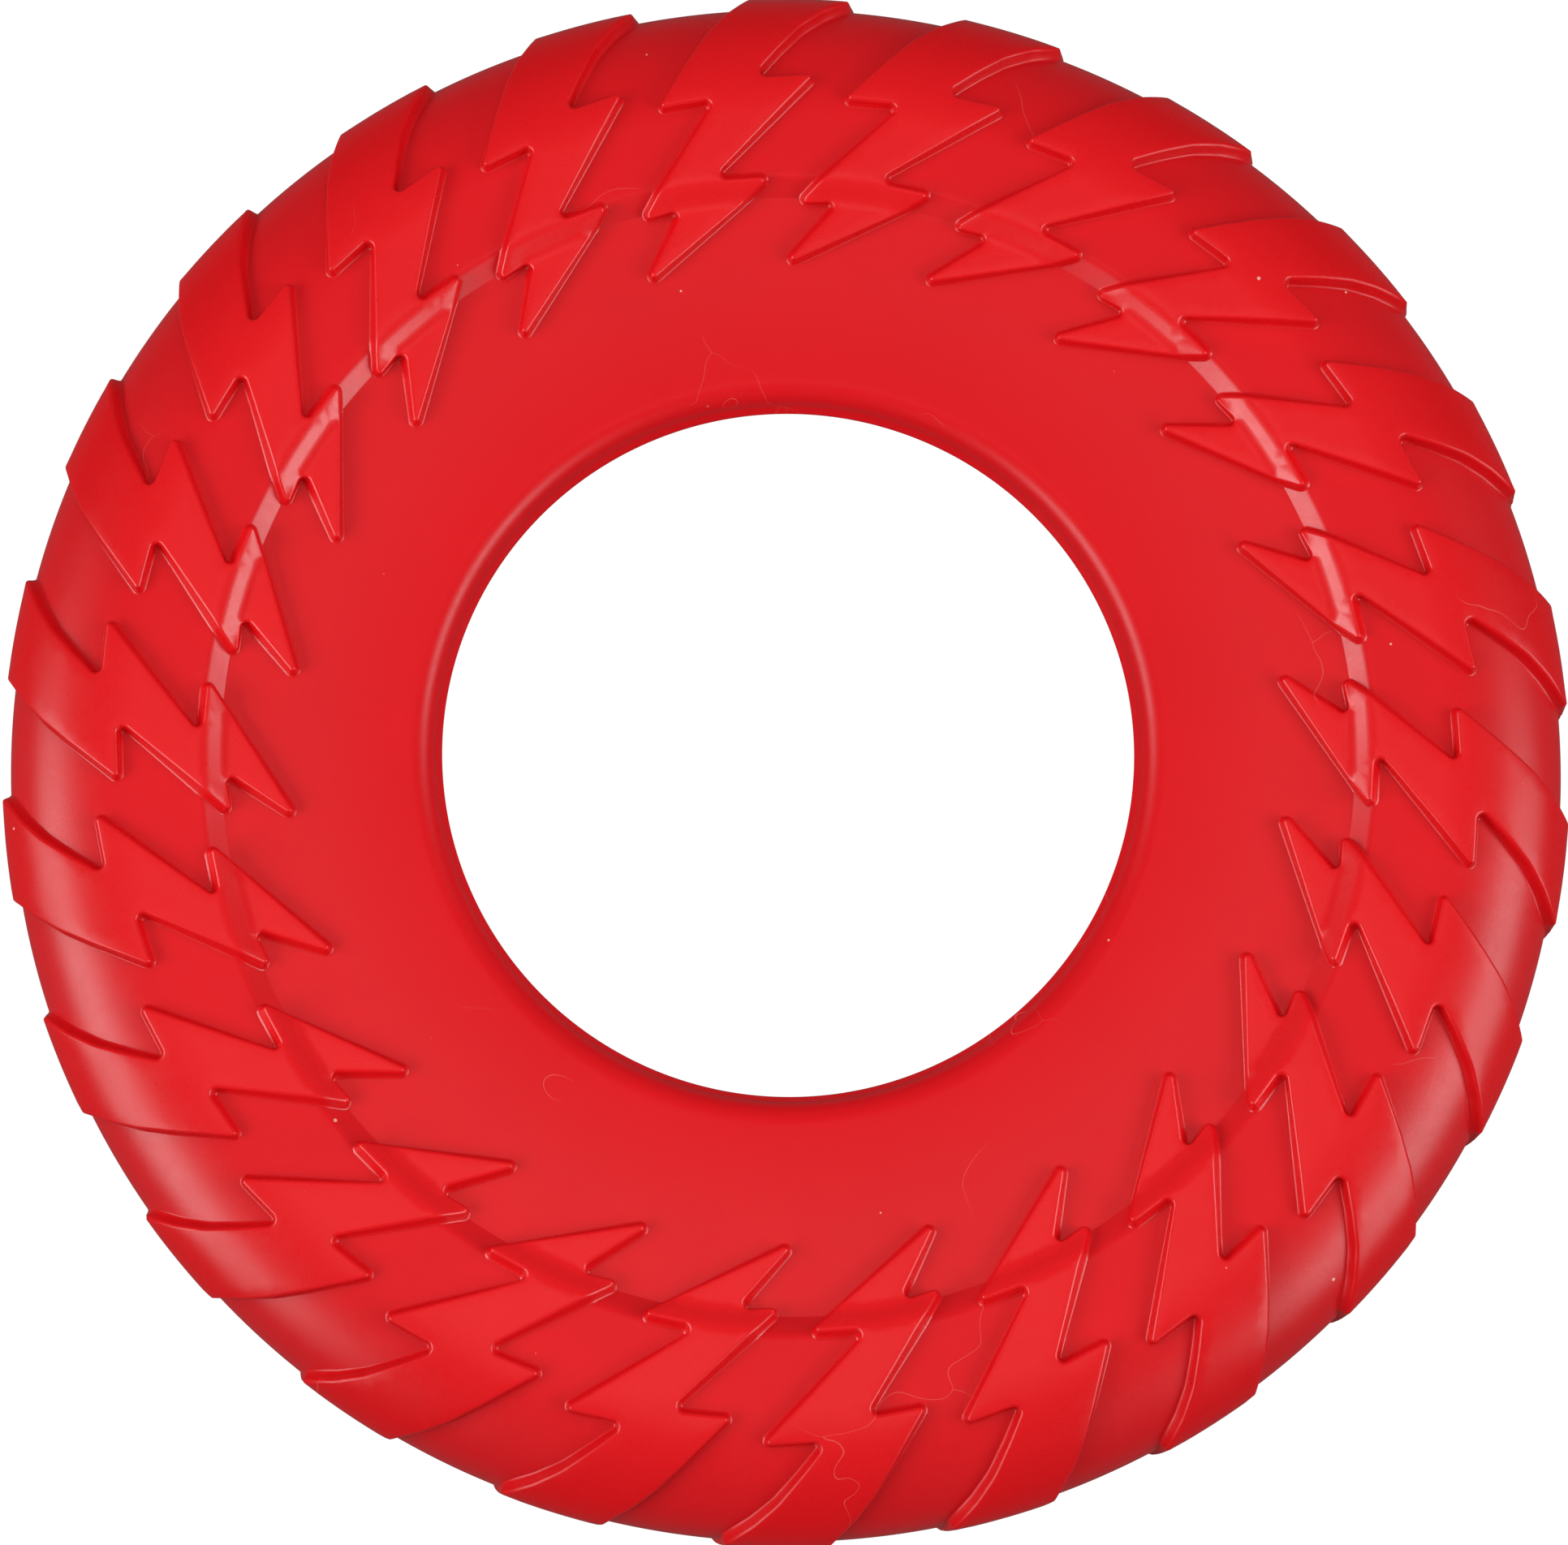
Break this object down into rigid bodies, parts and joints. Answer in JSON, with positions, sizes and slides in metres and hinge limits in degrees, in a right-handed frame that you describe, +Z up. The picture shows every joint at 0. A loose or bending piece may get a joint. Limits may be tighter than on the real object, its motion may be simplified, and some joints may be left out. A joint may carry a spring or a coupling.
{
  "type": "juggling ring",
  "caption": "Thick soft throwing ring with a round hand hole, two bonded half shells over a foam core and raised lightning bolts wrapping the rim.",
  "frame": {"origin": "on the ring's axis, in the plane that the lower bolts rest on when the ring lies flat", "axes": "+Z up along the ring's axis; +Y towards the top of the reference view; bolt angles run clockwise from +Y seen from above"},
  "size_m": [0.2374, 0.2378, 0.027],
  "materials": {
    "shell": "soft moulded elastomer, fine matt grain with a satin sheen",
    "bolts": "soft moulded elastomer, smoother and slightly brighter than the shell",
    "core": "light closed-cell foam, matt"
  },
  "bodies": {
    "root": {"lower_shell": "shell", "upper_shell": "shell", "foam_core": "core", "lower_bolts": "bolts", "upper_bolts": "bolts"}
  },
  "joints": []
}
